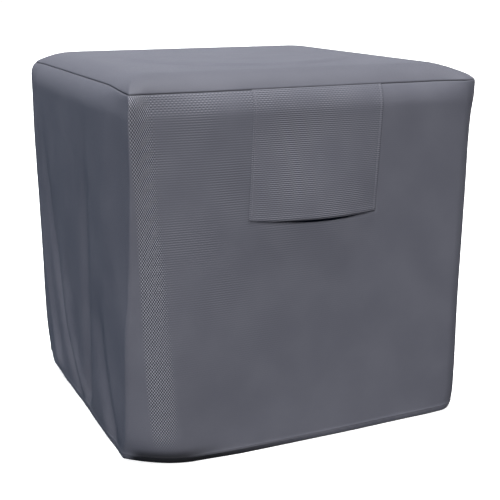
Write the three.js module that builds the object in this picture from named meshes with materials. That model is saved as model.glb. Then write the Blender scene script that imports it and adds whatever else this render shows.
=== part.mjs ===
// Fitted fabric cover for a square outdoor air conditioner unit, in the shape in which it hangs.
// Millimetres, +Z up. The front, with the vent flap, faces -Y, and the folded side faces -X.
// The origin is on the ground under the middle of the top, so the hem is at Z = 0.
// Every piece is one sheet of coated cloth: a grid of points on its outer face, worked out from
// the outline and the folds, with its inner face one cloth thickness behind.

import * as THREE from "three";

// Driving dimensions
const SIDE = 864;
const HEIGHT = 864;
const CLOTH = 2;
const SEAM_GAP = 0.3;
const ROLL_RADIUS = 90;

// The round guard of the unit lifts the middle of the top panel a little.
const PLATEAU = { radius: 276, rise: 5, slope: 30 };

// The vent flap hangs on the front from the top seam and leans a little to the left on its way
// down. Its free edge bows out and hangs lower in its middle and at its right end, and the wall
// behind that edge is pushed in.
const FLAP = { left: -143, right: 176, top: 827, bottom: 540, lean: 15, bow: 14, bowHeight: 210, columns: 14 };
const FLAP_FOOT = { drop: 5, rise: 6, height: 60 };
const VENT_DENT = { depth: 9, above: 70, below: 16 };

// The four sides in order round the plan, anticlockwise seen from above, with the seam's angle
// down the roll in degrees. The folded side has the most columns.
const SIDES = [
  { name: "left", columns: 28, seamAngle: 48 },
  { name: "front", columns: 14, seamAngle: 54 },
  { name: "right", columns: 10, seamAngle: 52 },
  { name: "back", columns: 10, seamAngle: 50 },
];

// The corner after each side. Its rounding reaches back along that side and on along the next,
// more at the hem than at the seam. Turn says how square it is: 2 is round, and 1 cuts it
// straight across. A creased corner leaves its side at an angle and eases into the next side,
// and its hem curls under, which widens its foot.
const CORNERS = [
  { name: "front left", creased: true, seamBack: 14, seamOn: 62, hemBack: 64, hemOn: 130, curl: 18 },
  { name: "front right", seamBack: 40, seamOn: 40, hemBack: 54, hemOn: 54, hemTurn: 2.0, curl: 0 },
  { name: "back right", seamBack: 40, seamOn: 40, hemBack: 54, hemOn: 54, hemTurn: 1.8, curl: 0 },
  { name: "back left", seamBack: 40, seamOn: 40, hemBack: 54, hemOn: 54, hemTurn: 1.7, curl: 0 },
];

// How far the cloth near a corner stands out, or is drawn in (negative), and where that is most:
// its height, and how far it reaches above, below and along the sides. The sewn corners stand out
// as ears, the front right one with a sharp ridge at its seam, and the front left edge is drawn in
// over most of its height. Power is 1 for a ridge, 2 for a soft swell and 4 for a flat one.
const EARS = [
  { corner: "front left", out: -16, height: 770, above: 52, below: 420, along: 130, power: 4 },
  { corner: "front right", out: 29, height: 828, above: 50, below: 30, along: 60, power: 1 },
  { corner: "back right", out: 12, height: 820, above: 40, below: 45, along: 60, power: 2 },
  { corner: "back left", out: 14, height: 830, above: 44, below: 30, along: 60, power: 2 },
];
const CORNER_COLUMNS = 7;
const WALL_TURN = 2.1;
const CURL_HEIGHT = 60;

// The least that a corner reaches on the wall, on the roll and on the level top, and how far below
// the roll the first eases into the second.
const SHARPEST = { wall: 2, roll: 8, ease: 60, top: 36 };

// The height of the seam at the corners. Above it the corners grow round.
const SEAM_HEIGHT = 828;

// The share of a side from which its seam eases down to a creased corner.
const SEAM_EASE = 0.8;

// How far to each side of the seam its direction is taken, in radians.
const SEAM_LOOK = 0.1;

// Bands of the wall from its roll down to the hem, each divided into even rows.
const TOP_ROLL_ROWS = 4;
const WALL_ROLL_ROWS = 3;
const WALL_BANDS = [
  { name: "shoulder", bottom: 600, rows: 3 },
  { name: "vent mouth", bottom: 500, rows: 5 },
  { name: "skirt", bottom: 60, rows: 7 },
  { name: "hem", bottom: 0, rows: 4 },
];

// Where the hem stands out from the straight wall, or is drawn in (negative), and how far up the
// wall that reaches. Along is a place on the side, measured from its middle towards +X or +Y.
// A row with a turn is in the corner after its side, from 0 at its start to 1 at its end.
const HEM_LINE = [
  { side: "left", along: 372, out: -9, reach: 130 },
  { side: "left", along: 290, out: 4, reach: 140 },
  { side: "left", along: 190, out: 4, reach: 160 },
  { side: "left", along: -60, out: 4, reach: 300 },
  { side: "left", along: -300, out: 4, reach: 200 },
  { side: "left", turn: 0.5, out: -1, reach: 60 },
  { side: "front", along: -310, out: -1, reach: 60 },
  { side: "front", along: -160, out: 7, reach: 80 },
  { side: "front", along: 70, out: 7, reach: 260 },
  { side: "front", along: 300, out: 3, reach: 140 },
  { side: "front", turn: 0.5, out: -4, reach: 60 },
  { side: "right", along: -290, out: 0, reach: 90 },
  { side: "right", along: 0, out: 4, reach: 260 },
  { side: "right", along: 290, out: 0, reach: 120 },
  { side: "right", turn: 0.5, out: -8, reach: 70 },
  { side: "back", along: 280, out: 0, reach: 120 },
  { side: "back", along: -20, out: 4, reach: 240 },
  { side: "back", along: -290, out: -1, reach: 120 },
  { side: "back", turn: 0.6, out: -8, reach: 230 },
];

// Folds of the wall by side, a row each: their top and foot heights, and their places along the
// side there. Bend is 1 for a straight fold and more where it swings near its foot. Out is the
// rise at its top and at its foot, negative for a trough, and width is half its breadth.
const FOLDS = {
  left: [
    { top: 760, topAt: 288, foot: 10, footAt: -10, bend: 2.8, topOut: -3, footOut: -19, width: 31 },
    { top: 640, topAt: 362, foot: 0, footAt: 165, bend: 2.9, topOut: 2, footOut: 12, width: 31 },
    { top: 800, topAt: 5, foot: 330, footAt: 135, bend: 1.0, topOut: 3, footOut: 3, width: 56 },
    { top: 480, topAt: 142, foot: 10, footAt: -30, bend: 2.6, topOut: 2, footOut: 11, width: 32 },
    { top: 800, topAt: -135, foot: 10, footAt: -56, bend: 0.6, topOut: -4, footOut: -16, width: 30 },
    { top: 790, topAt: -291, foot: 400, footAt: -258, bend: 1.0, topOut: 3, footOut: 1, width: 50 },
    { top: 380, topAt: -178, foot: 10, footAt: -292, bend: 2.4, topOut: -3, footOut: -17, width: 38 },
    { top: 290, topAt: -235, foot: 0, footAt: -335, bend: 1.1, topOut: 1, footOut: 3, width: 34 },
  ],
  front: [
    { top: 520, topAt: -250, foot: 30, footAt: -200, bend: 1.2, topOut: 0.5, footOut: -2, width: 90 },
  ],
  right: [
    { top: 760, topAt: -150, foot: 10, footAt: -60, bend: 1.6, topOut: -2, footOut: -8, width: 60 },
    { top: 700, topAt: 150, foot: 10, footAt: 210, bend: 1.4, topOut: -2, footOut: -6, width: 52 },
  ],
  back: [
    { top: 780, topAt: 190, foot: 10, footAt: 90, bend: 1.8, topOut: -3, footOut: -9, width: 55 },
    { top: 760, topAt: -120, foot: 10, footAt: -190, bend: 1.5, topOut: -2, footOut: -8, width: 50 },
  ],
  corner: [],
};

// The share of its length over which a fold starts.
const FOLD_START = 0.4;

// The stiff hem holds the folds down to a share of their depth, up to this height.
const HEM_HOLD = { share: 0.1, height: 55 };

const HALF = SIDE / 2;
const ROLL_CENTRE = HEIGHT - ROLL_RADIUS;

const smooth = THREE.MathUtils.smoothstep;
const lerp = THREE.MathUtils.lerp;

// A station is one column of the cover: a share of the way along a side, or a turn through the
// corner after that side. Both run from 0 to 1, and one of them is null. A station of the flap
// also has its place along the front at the seam.
function planStations() {
  const stations = [];
  SIDES.forEach((side, sideIndex) => {
    for (let column = 0; column < side.columns; column += 1) {
      stations.push({ sideIndex, share: column / side.columns, turn: null });
    }
    for (let column = 0; column < CORNER_COLUMNS; column += 1) {
      stations.push({ sideIndex, share: null, turn: column / CORNER_COLUMNS });
    }
  });
  return stations;
}

// The way that a side faces and the way that it is walked.
function sideFrame(sideIndex) {
  const angle = sideIndex * (Math.PI / 2);
  const facing = new THREE.Vector2(-Math.cos(angle), -Math.sin(angle));
  return { facing, heading: new THREE.Vector2(-facing.y, facing.x) };
}

// How far a corner's hem has curled under at a height, from 1 at the hem to 0.
function curled(height) {
  return 1 - smooth(height, 0, CURL_HEIGHT);
}

// How round the corners of the top panel are at a height: 0 up to the seam and 1 on the level top.
function rounded(height) {
  return smooth(height, SEAM_HEIGHT, HEIGHT);
}

// A corner's reach at a height, and less where the roll draws the outline in.
function cornerReach(corner, height, inset) {
  const up = Math.min(height / ROLL_CENTRE, 1);
  const nearRoll = smooth(height, ROLL_CENTRE - SHARPEST.ease, ROLL_CENTRE);
  const least = lerp(lerp(SHARPEST.wall, SHARPEST.roll, nearRoll), SHARPEST.top, rounded(height));
  const taken = corner.curl * curled(height) - inset;
  return {
    back: Math.max(lerp(corner.hemBack, corner.seamBack, up) + taken, least),
    on: Math.max(lerp(corner.hemOn, corner.seamOn, up) + taken, least),
  };
}

// The shares of a corner's two reaches that are cut away at a turn through it.
function cornerCut(corner, turn, height) {
  const power = 2 / lerp(WALL_TURN, corner.hemTurn ?? WALL_TURN, curled(height));
  const angle = turn * (Math.PI / 2);
  const round = { back: 1 - Math.sin(angle) ** power, on: 1 - Math.cos(angle) ** power };
  if (!corner.creased) return round;
  const share = rounded(height);
  return { back: lerp((1 - turn) ** 2, round.back, share), on: lerp(turn, round.on, share) };
}

// How far down the flap a height is: 0 at its seam and 1 at its foot.
function flapFallen(height) {
  return (FLAP.top - height) / (FLAP.top - FLAP.bottom);
}

// A station's place on the outline at a height, before the cloth's drape.
function outlineAt(station, height, inset) {
  const { facing, heading } = sideFrame(station.sideIndex);
  const half = HALF - inset;
  const corner = CORNERS[station.sideIndex];
  const reach = cornerReach(corner, height, inset);
  if (station.turn === null) {
    const cornerBefore = CORNERS[(station.sideIndex + CORNERS.length - 1) % CORNERS.length];
    const start = cornerReach(cornerBefore, height, inset).on - half;
    let walked = lerp(start, half - reach.back, station.share);
    if (station.at !== undefined) walked = station.at - FLAP.lean * flapFallen(height);
    const point = facing.clone().multiplyScalar(half).addScaledVector(heading, walked);
    return { side: SIDES[station.sideIndex].name, along: walked * (heading.x + heading.y), point, facing };
  }
  const cut = cornerCut(corner, station.turn, height);
  const ahead = half - reach.back * cut.back;
  const aside = half - reach.on * cut.on;
  const point = facing.clone().multiplyScalar(aside).addScaledVector(heading, ahead);
  facing.rotateAround(new THREE.Vector2(), station.turn * (Math.PI / 2));
  return { side: "corner", along: 0, point, facing };
}

// How far round the plan a station is, counted in sides. A corner takes the last fifth.
const CORNER_SHARE = 0.2;
function roundPlan({ sideIndex, share, turn }) {
  return sideIndex + (turn === null ? share * (1 - CORNER_SHARE) : 1 - CORNER_SHARE * (1 - turn));
}

const hemMarks = HEM_LINE.map((row) => {
  const sideIndex = SIDES.findIndex((side) => side.name === row.side);
  if (row.turn !== undefined) return { ...row, place: roundPlan({ sideIndex, share: null, turn: row.turn }) };
  const start = outlineAt({ sideIndex, share: 0, turn: null }, 0, 0).along;
  const end = outlineAt({ sideIndex, share: 1, turn: null }, 0, 0).along;
  return { ...row, place: roundPlan({ sideIndex, share: (row.along - start) / (end - start), turn: null }) };
});

function hemAt(station) {
  const place = roundPlan(station);
  const after = hemMarks.findIndex((mark) => mark.place > place);
  const next = after < 0 ? hemMarks[0] : hemMarks[after];
  const last = after <= 0 ? hemMarks[hemMarks.length - 1] : hemMarks[after - 1];
  const span = (next.place - last.place + SIDES.length) % SIDES.length;
  const passed = (place - last.place + SIDES.length) % SIDES.length;
  const share = smooth(passed / span, 0, 1);
  return { out: lerp(last.out, next.out, share), reach: lerp(last.reach, next.reach, share) };
}

function foldOut(fold, outline, height) {
  const down = (fold.top - height) / (fold.top - fold.foot);
  if (down <= 0) return 0;
  const fallen = Math.min(down, 1);
  const along = lerp(fold.topAt, fold.footAt, fallen ** fold.bend);
  const away = (outline.along - along) / fold.width;
  const toCorner = HALF - SHARPEST.roll - Math.abs(outline.along);
  const rise = lerp(fold.topOut, fold.footOut, fallen) * smooth(down, 0, FOLD_START);
  return rise * Math.exp(-away * away) * smooth(toCorner, 0, fold.width);
}

// How far the nearest corner's ear moves the cloth.
function earOut({ point }, height) {
  const corner = `${point.y < 0 ? "front" : "back"} ${point.x < 0 ? "left" : "right"}`;
  const ear = EARS.find((row) => row.corner === corner);
  const aside = (HALF - Math.min(Math.abs(point.x), Math.abs(point.y))) / ear.along;
  const above = height - ear.height;
  const off = Math.abs(above) / (above > 0 ? ear.above : ear.below);
  return ear.out * Math.exp(-aside * aside - off ** ear.power);
}

// How far the flap's foot has opened at a place on the front: 0 at its sides, 1 in its middle.
function flapOpening(along) {
  const middle = (FLAP.left + FLAP.right) / 2 - FLAP.lean;
  const share = (along - middle) / ((FLAP.right - FLAP.left) / 2);
  return Math.max(0, 1 - share * share);
}

function ventDent(outline, height) {
  if (outline.side !== "front") return 0;
  const above = smooth(height, FLAP.bottom, FLAP.bottom + VENT_DENT.above);
  const below = smooth(FLAP.bottom - height, 0, VENT_DENT.below);
  return VENT_DENT.depth * flapOpening(outline.along) * (1 - above) * (1 - below);
}

// A point of the cloth's outer face: the outline with the hem, the folds, the corner's ear and
// the dent behind the flap.
function clothPoint(station, height, inset) {
  const outline = outlineAt(station, height, inset);
  const hem = hemAt(station);
  const folds = FOLDS[outline.side].reduce((sum, fold) => sum + foldOut(fold, outline, height), 0);
  const held = lerp(HEM_HOLD.share, 1, smooth(height, 0, HEM_HOLD.height));
  const drape = hem.out * Math.max(0, 1 - height / hem.reach) ** 2 + folds * held;
  const belowSeam = smooth(ROLL_CENTRE + ROLL_RADIUS / 3 - height, 0, ROLL_RADIUS);
  const out = drape * belowSeam + earOut(outline, height) - ventDent(outline, height);
  const plan = outline.point.clone().addScaledVector(outline.facing, out);
  return new THREE.Vector3(plan.x, plan.y, height);
}

// The angle of the seam down the roll at a station. It eases from side to side in the corners, and
// before a creased corner on the last part of its side.
function seamAngle({ sideIndex, share, turn }) {
  const before = SIDES[sideIndex].seamAngle;
  const after = SIDES[(sideIndex + 1) % SIDES.length].seamAngle;
  const eased = CORNERS[sideIndex].creased ? smooth(share ?? 1, SEAM_EASE, 1) : turn ?? 0;
  return THREE.MathUtils.degToRad(lerp(before, after, eased));
}

// A point on the roll between the top and the wall, at an angle down from the level top.
function rollPoint(station, angle) {
  const height = ROLL_CENTRE + ROLL_RADIUS * Math.cos(angle);
  return clothPoint(station, height, ROLL_RADIUS * (1 - Math.sin(angle)));
}

// Two lines close above and below the seam, which give both edges at the seam the same direction.
function seamSides(stations) {
  const lineAt = (side) => stations.map((station) => rollPoint(station, seamAngle(station) + side));
  return [lineAt(-SEAM_LOOK), lineAt(SEAM_LOOK)];
}

// How far the flap's foot is let down at one of its stations, and the rows just above it less.
function letDown({ at }, height) {
  const near = 1 - smooth(height, FLAP.bottom, FLAP.bottom + FLAP_FOOT.height);
  const fromRight = (FLAP.right - at) / (FLAP.right - FLAP.left);
  return near * (FLAP_FOOT.drop * flapOpening(at - FLAP.lean) - FLAP_FOOT.rise * fromRight);
}

// The lines of points that make up the wall from its seam down to a given height. Each line can
// be let down a little at each station.
function wallLines(stations, bottom, down = () => 0) {
  const rollLine = (row) => stations.map((station) => {
    const first = seamAngle(station) + SEAM_GAP / ROLL_RADIUS;
    return rollPoint(station, lerp(first, Math.PI / 2, row / WALL_ROLL_ROWS));
  });
  const lines = [];
  for (let row = 0; row <= WALL_ROLL_ROWS; row += 1) lines.push(rollLine(row));
  let bandTop = ROLL_CENTRE;
  for (const band of WALL_BANDS) {
    for (let row = 1; row <= band.rows; row += 1) {
      const height = lerp(bandTop, band.bottom, row / band.rows);
      const line = stations.map((station) => clothPoint(station, height - down(station, height), 0));
      if (Math.round(height) >= bottom) lines.push(line);
    }
    bandTop = band.bottom;
  }
  return { lines, firstSides: seamSides(stations) };
}

// The way that a sheet faces at each of its points, from the points around. Lines run down and
// their points run anticlockwise, so the sheet faces out of the cover. An edge at the seam takes
// its direction from the seam's own two sides.
function sheetNormals({ lines, firstSides, lastSides }, ring) {
  const bottom = lines.length - 1;
  return lines.map((line, row) => line.map((point, column) => {
    let sides = [lines[Math.max(row - 1, 0)], lines[Math.min(row + 1, bottom)]];
    if (row === 0 && firstSides) sides = firstSides;
    if (row === bottom && lastSides) sides = lastSides;
    const last = line.length - 1;
    const right = ring && column === last ? 0 : Math.min(column + 1, last);
    const left = ring && column === 0 ? last : Math.max(column - 1, 0);
    const down = sides[1][column].clone().sub(sides[0][column]);
    return down.cross(line[right].clone().sub(line[left])).normalize();
  }));
}

// Closed solid of one cloth sheet. A ring closes on itself, and a patch has two more free edges.
// A crown is the one middle point of a sheet whose lines run out from it.
function sheetGeometry(sheet, { ring, crown = null }) {
  const normals = sheetNormals(sheet, ring);
  const rows = sheet.lines.length;
  const columns = sheet.lines[0].length;
  const points = [];
  for (const depth of [0, CLOTH]) {
    sheet.lines.forEach((line, row) => line.forEach((point, column) => {
      points.push(point.clone().addScaledVector(normals[row][column], -depth));
    }));
  }
  const at = (face, row, column) => (face * rows + row) * columns + (column % columns);
  const triangles = [];
  const quad = (a, b, c, d) => triangles.push(a, b, c, a, c, d);
  const spans = ring ? columns : columns - 1;
  for (let row = 0; row < rows - 1; row += 1) {
    for (let column = 0; column < spans; column += 1) {
      quad(at(0, row, column), at(0, row + 1, column), at(0, row + 1, column + 1), at(0, row, column + 1));
      quad(at(1, row, column), at(1, row, column + 1), at(1, row + 1, column + 1), at(1, row + 1, column));
    }
  }
  const edge = (a, b) => quad(a[0], a[1], b[1], b[0]);
  for (let column = 0; column < spans; column += 1) {
    const next = column + 1;
    const bottom = rows - 1;
    edge([at(0, bottom, column), at(1, bottom, column)], [at(0, bottom, next), at(1, bottom, next)]);
    if (!crown) edge([at(1, 0, column), at(0, 0, column)], [at(1, 0, next), at(0, 0, next)]);
  }
  if (crown) {
    const outer = points.push(crown.clone()) - 1;
    const inner = points.push(crown.clone().setZ(crown.z - CLOTH)) - 1;
    for (let column = 0; column < columns; column += 1) {
      triangles.push(outer, at(0, 0, column), at(0, 0, column + 1));
      triangles.push(inner, at(1, 0, column + 1), at(1, 0, column));
    }
  }
  if (!ring) {
    for (let row = 0; row < rows - 1; row += 1) {
      edge([at(1, row, 0), at(1, row + 1, 0)], [at(0, row, 0), at(0, row + 1, 0)]);
      edge([at(0, row, spans), at(0, row + 1, spans)], [at(1, row, spans), at(1, row + 1, spans)]);
    }
  }
  const geometry = new THREE.BufferGeometry();
  const places = new Float32Array(points.flatMap((point) => point.toArray()));
  geometry.setAttribute("position", new THREE.BufferAttribute(places, 3));
  geometry.setIndex(triangles);
  geometry.computeVertexNormals();
  return geometry;
}

// Top panel: round rings over the plateau, which turn into the square of the level top and then
// run down the roll to the seam.
function topGeometry(stations) {
  const levelEdge = (station) => rollPoint(station, 0);
  const onCircle = (station, radius) => levelEdge(station).setZ(0).normalize().multiplyScalar(radius);
  const raised = (point) => {
    const away = Math.hypot(point.x, point.y) - PLATEAU.radius;
    const risen = 1 - smooth(away, -PLATEAU.slope / 2, PLATEAU.slope / 2);
    return point.setZ(HEIGHT + PLATEAU.rise * risen);
  };
  const foot = PLATEAU.radius + PLATEAU.slope / 2;
  const rings = [PLATEAU.radius / 2, PLATEAU.radius - PLATEAU.slope / 2, PLATEAU.radius, foot];
  const lines = rings.map((radius) => stations.map((station) => raised(onCircle(station, radius))));
  lines.push(stations.map((station) => raised(onCircle(station, foot).lerp(levelEdge(station), 0.5))));
  const rollLine = (row) => stations.map((station) => {
    return rollPoint(station, (seamAngle(station) * row) / TOP_ROLL_ROWS);
  });
  for (let row = 0; row <= TOP_ROLL_ROWS; row += 1) lines.push(rollLine(row));
  const crown = new THREE.Vector3(0, 0, HEIGHT + PLATEAU.rise);
  return sheetGeometry({ lines, lastSides: seamSides(stations) }, { ring: true, crown });
}

function wallGeometry(stations) {
  return sheetGeometry(wallLines(stations, 0), { ring: true });
}

// Vent flap: it lies on the front of the wall from the seam down, and its lower part bows away.
function flapGeometry() {
  const sideIndex = SIDES.findIndex((side) => side.name === "front");
  const stations = [];
  for (let column = 0; column <= FLAP.columns; column += 1) {
    const at = lerp(FLAP.left, FLAP.right, column / FLAP.columns);
    stations.push({ sideIndex, share: (at + HALF) / SIDE, turn: null, at });
  }
  const onWall = wallLines(stations, FLAP.bottom, letDown);
  const lift = (line, normals) => line.map((point, column) => {
    const closed = smooth(point.z, FLAP.bottom, FLAP.bottom + FLAP.bowHeight);
    const bow = FLAP.bow * flapOpening(point.x) * (1 - closed);
    const dent = ventDent({ side: "front", along: point.x }, point.z);
    const lifted = point.clone().addScaledVector(normals[column], SEAM_GAP + CLOTH);
    return lifted.setY(lifted.y - bow - dent);
  });
  const normals = sheetNormals(onWall, false);
  const lines = onWall.lines.map((line, row) => lift(line, normals[row]));
  return sheetGeometry({ lines, firstSides: onWall.firstSides }, { ring: false });
}

function clothMaterial(color) {
  return new THREE.MeshStandardMaterial({ color, roughness: 0.72, metalness: 0, side: THREE.DoubleSide });
}

function piece(name, geometry, color) {
  const mesh = new THREE.Mesh(geometry, clothMaterial(color));
  mesh.name = name;
  return mesh;
}

const stations = planStations();
const cover = new THREE.Group();
cover.name = "air_conditioner_cover";
cover.add(piece("top_panel", topGeometry(stations), "#8c8e99"));
cover.add(piece("wall", wallGeometry(stations), "#606069"));
cover.add(piece("vent_flap", flapGeometry(), "#62626b"));

export default cover;
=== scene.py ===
# %% [markdown]
# # A fitted cloth cover for a square outdoor air conditioner unit
# The cover is three pieces of coated cloth: a top panel, one long strip that makes the four walls,
# and a vent flap on the front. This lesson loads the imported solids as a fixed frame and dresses
# them: each solid is replaced by a fine sheet of cloth with its folds, seams, hem and weave.

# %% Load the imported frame
import math

import bpy
import numpy as np
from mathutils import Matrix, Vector


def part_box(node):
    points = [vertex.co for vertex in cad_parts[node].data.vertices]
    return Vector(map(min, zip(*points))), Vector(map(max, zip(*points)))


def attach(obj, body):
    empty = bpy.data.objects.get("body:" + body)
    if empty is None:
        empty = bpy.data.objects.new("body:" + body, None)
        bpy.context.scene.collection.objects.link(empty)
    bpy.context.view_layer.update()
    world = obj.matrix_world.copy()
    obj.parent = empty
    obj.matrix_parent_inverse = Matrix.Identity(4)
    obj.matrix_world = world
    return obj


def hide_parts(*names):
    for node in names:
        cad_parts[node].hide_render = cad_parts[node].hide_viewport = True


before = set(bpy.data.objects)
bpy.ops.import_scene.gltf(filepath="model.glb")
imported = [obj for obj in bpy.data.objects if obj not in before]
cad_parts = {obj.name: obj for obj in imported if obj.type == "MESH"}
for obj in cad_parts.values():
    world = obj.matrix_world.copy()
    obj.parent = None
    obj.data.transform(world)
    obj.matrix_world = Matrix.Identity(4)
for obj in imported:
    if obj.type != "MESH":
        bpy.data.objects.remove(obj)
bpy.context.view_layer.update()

MM = 0.001
for node in sorted(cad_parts):
    low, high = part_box(node)
    print(node, "from", [round(v, 3) for v in low], "to", [round(v, 3) for v in high])

# %% [markdown]
# ## The camera
# A camera is matched to a photograph by fitting the known shape's outline to it. Here that gave a
# long lens, 24 degrees round to the left and 15 degrees above the level, so upright edges stay
# nearly upright. It comes first, so that every later step can be looked at through it.

# %% Camera
VIEW_TURN = math.radians(-24.375)
VIEW_RISE = math.radians(15.274)
VIEW_DISTANCE = 2.6386
LOOK_AT = Vector((0.0349, -0.0158, 0.3563))
LENS, FILM_WIDTH = 71.31, 36
FARTHEST_SEEN = 60

back = Vector((
    math.sin(VIEW_TURN) * math.cos(VIEW_RISE),
    -math.cos(VIEW_TURN) * math.cos(VIEW_RISE),
    math.sin(VIEW_RISE),
))
camera_data = bpy.data.cameras.new("camera")
camera_data.lens = LENS
camera_data.sensor_width = FILM_WIDTH
camera_data.clip_end = FARTHEST_SEEN
camera = bpy.data.objects.new("camera", camera_data)
camera.location = LOOK_AT + back * VIEW_DISTANCE
camera.rotation_mode = "QUATERNION"
camera.rotation_quaternion = (-back).to_track_quat("-Z", "Y")
bpy.context.scene.collection.objects.link(camera)
bpy.context.scene.camera = camera
print("camera at", [round(v, 3) for v in camera.location])

# %% [markdown]
# ## Writing shader maths as plain Python
# A procedural material is a graph of nodes, and sums written as nodes are hard to read. One small
# class wraps a socket, so that `1 - mask * 0.5` adds the Math nodes by itself. Colours are mixed
# with Mix nodes, because a Math node would turn them grey.

# %% The socket class and the node maker


class Value:
    """A number that changes over a surface: an output socket with Python's operators."""

    def __init__(self, shader, socket):
        self.shader = shader
        self.socket = socket

    def math(self, operation, *others):
        inputs = dict(enumerate((self, *others)))
        return self.shader.node("ShaderNodeMath", {"operation": operation}, inputs)

    def __add__(self, other):
        return self.math("ADD", other)

    def __sub__(self, other):
        return self.math("SUBTRACT", other)

    def __rsub__(self, other):
        return self.shader.node("ShaderNodeMath", {"operation": "SUBTRACT"}, {0: other, 1: self})

    def __mul__(self, other):
        return self.math("MULTIPLY", other)

    __radd__ = __add__
    __rmul__ = __mul__

    def ramp(self, low, high):
        """0 below low, 1 above high, and a soft rise between them."""
        settings = {"interpolation_type": "SMOOTHSTEP"}
        return self.shader.node("ShaderNodeMapRange", settings, {0: self, 1: low, 2: high})

    def wave(self, length):
        """A sine of the value, from -1 to 1, with this wavelength."""
        return (self * (2 * math.pi / length)).math("SINE")


class Shader:
    """The nodes of a material, or of the world, and the shader that they feed."""

    def __init__(self, owner, surface, **constants):
        owner.use_nodes = True
        self.owner = owner
        self.tree = owner.node_tree
        self.surface = self.tree.nodes[surface]
        for socket, value in constants.items():
            self.surface.inputs[socket.replace("_", " ")].default_value = value

    def node(self, kind, settings=None, inputs=None, output=0):
        made = self.tree.nodes.new(kind)
        for name, value in (settings or {}).items():
            setattr(made, name, value)
        for key, value in (inputs or {}).items():
            if isinstance(value, Value):
                self.tree.links.new(value.socket, made.inputs[key])
            else:
                made.inputs[key].default_value = value
        return Value(self, made.outputs[output])

    def split(self, vector):
        """The three parts of a vector."""
        first = self.node("ShaderNodeSeparateXYZ", inputs={0: vector})
        return [Value(self, socket) for socket in first.socket.node.outputs]

    def mix(self, share, first, second):
        """A colour between two others. The colour sockets of a Mix node are its inputs 6 and 7."""
        inputs = {0: share, 6: first, 7: second}
        return self.node("ShaderNodeMix", {"data_type": "RGBA"}, inputs, output=2)

    def noise(self, place, size, detail=2.0):
        """Soft noise from 0 to 1, with hills about one size across."""
        inputs = {"Vector": place, "Scale": 1 / size, "Detail": detail}
        return self.node("ShaderNodeTexNoise", {"normalize": True}, inputs)

    def paint(self, socket, value):
        self.tree.links.new(value.socket, self.surface.inputs[socket])


def new_finish(name, **constants):
    return Shader(bpy.data.materials.new(name), "Principled BSDF", **constants)


print("socket class ready")

# %% [markdown]
# ## The cover's sizes
# All sizes are in millimetres, as on a maker's drawing, and become metres when a mesh is made.
# They repeat the solids' own sizes, so the cloth lies where the solids are. The cover is as wide
# and deep as it is high, with a wide roll between its top and its walls.

# %% Sizes, sides and corners
SIDE = 864
HEIGHT = 864
HALF = SIDE / 2
ROLL_RADIUS = 90
ROLL_CENTRE = HEIGHT - ROLL_RADIUS
SEAM_ANGLES = np.radians([48, 54, 52, 50])
PLATEAU_RADIUS, PLATEAU_RISE, PLATEAU_SLOPE = 276, 5, 30

LEFT, FRONT, RIGHT, BACK = range(4)
SIDE_NUMBERS = {"left": LEFT, "front": FRONT, "right": RIGHT, "back": BACK}

# One entry a corner: front left, front right, back right, back left.
SEAM_BACK = np.array([14, 40, 40, 40])
SEAM_ON = np.array([62, 40, 40, 40])
HEM_BACK = np.array([64, 54, 54, 54])
HEM_ON = np.array([130, 54, 54, 54])
CORNER_CURL = np.array([18, 0, 0, 0])
HEM_TURN = np.array([2.0, 2.0, 1.8, 1.7])
CREASED = np.array([True, False, False, False])
WALL_TURN = 2.1
CURL_HEIGHT = 60
SHARPEST_ON_WALL, SHARPEST_ON_ROLL, SHARPEST_ON_TOP, SHARPEST_EASE = 2, 8, 36, 60
SEAM_HEIGHT = 828
SEAM_EASE = 0.8

# The flap leans to the left on its way down, and its foot bows out and hangs lowest in its middle.
FLAP_LEFT, FLAP_RIGHT, FLAP_TOP, FLAP_BOTTOM = -143, 176, 827, 540
FLAP_LEAN = 15
FLAP_BOW, FLAP_BOW_HEIGHT = 14, 210
FLAP_DROP, FLAP_RISE, FLAP_DROP_HEIGHT = 5, 6, 60

EARS = [
    {"x": -1, "y": -1, "out": -16, "height": 770, "above": 52, "below": 420, "along": 130, "power": 4},
    {"x": 1, "y": -1, "out": 29, "height": 828, "above": 50, "below": 30, "along": 60, "power": 1},
    {"x": 1, "y": 1, "out": 12, "height": 820, "above": 40, "below": 45, "along": 60, "power": 2},
    {"x": -1, "y": 1, "out": 14, "height": 830, "above": 44, "below": 30, "along": 60, "power": 2},
]


def smooth(value, low, high):
    """0 below low, 1 above high, and a soft rise between them."""
    share = np.clip((value - low) / (high - low), 0, 1)
    return share * share * (3 - 2 * share)


def between(first, second, share):
    return first + (second - first) * share


print("the cover is", SIDE, "mm square and", HEIGHT, "mm high")

# %% [markdown]
# ## The outline
# The wall is a grid of points: columns run round the cover and rows run down it. A column is a
# share of the way along a side, or a turn through the corner after that side. The outline says
# where each column stands at a height. The front left corner is creased: it leaves the left side
# at an angle and eases into the front.

# %% Columns and outline


class Columns:
    """The columns of a sheet: a side for each, and its share along the side or its corner's turn."""

    def __init__(self, side, share, turn, at=None):
        self.side = np.array(side)
        self.share = np.array(share, float)
        self.turn = np.array(turn, float)
        self.corner = self.turn >= 0
        self.at = at

    @classmethod
    def round_the_cover(cls, side_columns, corner_columns):
        side, share, turn = [], [], []
        for number, columns in enumerate(side_columns):
            side += [number] * (columns + corner_columns)
            share += list(np.arange(columns) / columns) + [1] * corner_columns
            turn += [-1] * columns + list(np.arange(corner_columns) / corner_columns)
        return cls(side, share, turn)


def curled(height):
    return 1 - smooth(height, 0, CURL_HEIGHT)


def rounded(height):
    """How round the corners of the top panel are: 0 up to the seam and 1 on the level top."""
    return smooth(height, SEAM_HEIGHT, HEIGHT)


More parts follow.
